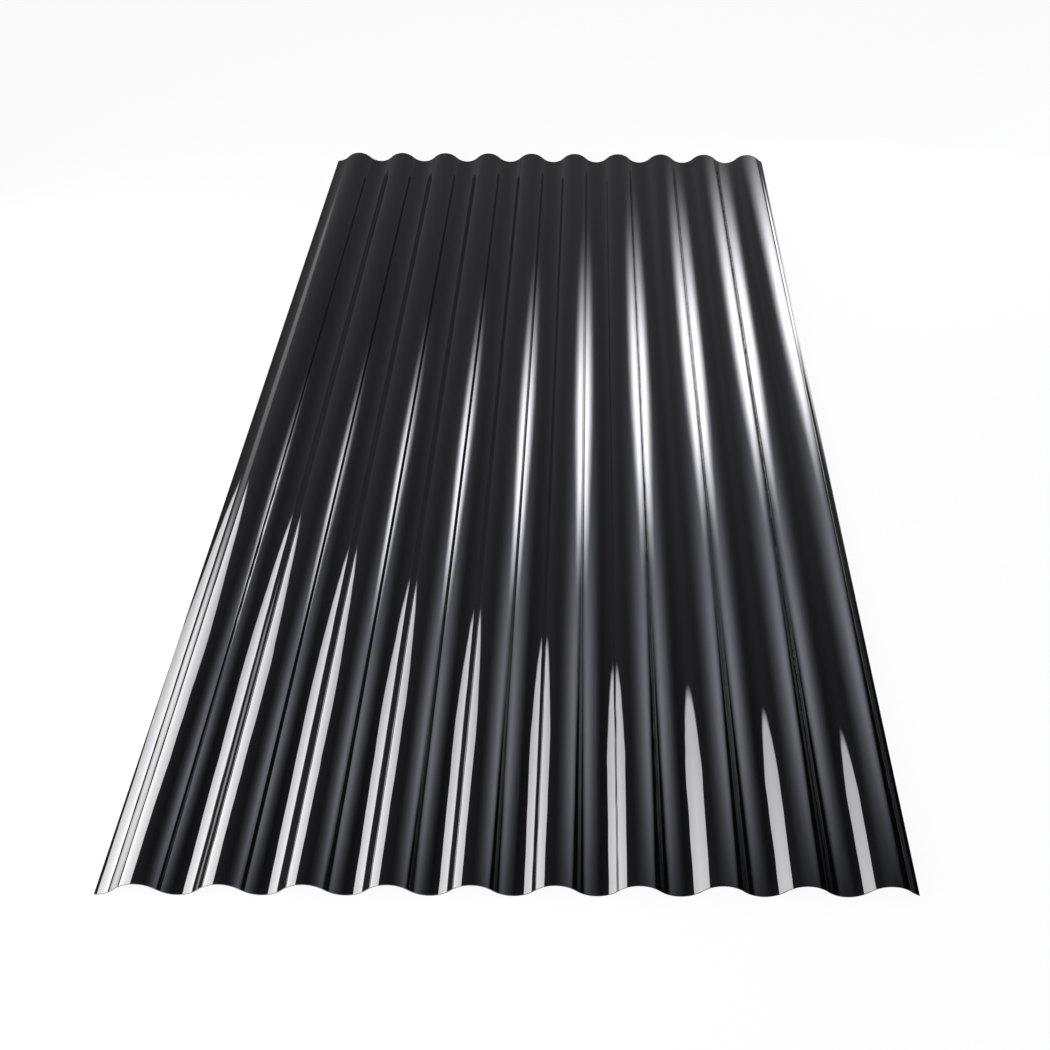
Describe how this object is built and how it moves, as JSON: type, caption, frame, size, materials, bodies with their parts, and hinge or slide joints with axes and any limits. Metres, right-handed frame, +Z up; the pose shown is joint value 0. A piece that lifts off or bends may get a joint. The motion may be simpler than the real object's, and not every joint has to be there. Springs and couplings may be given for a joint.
{
  "type": "corrugated polycarbonate sheet",
  "caption": "Opaque black corrugated plastic roofing sheet, long and thin, with round waves running its length.",
  "frame": {"origin": "on the floor, under the middle of the sheet's width and length", "axes": "+Y along the waves, +X across them, +Z up, square to the lying sheet"},
  "size_m": [0.66, 1.372, 0.0142],
  "materials": {
    "corrugated_sheet": "gloss"
  },
  "bodies": {
    "root": {"corrugated_sheet": "corrugated_sheet"}
  },
  "joints": []
}
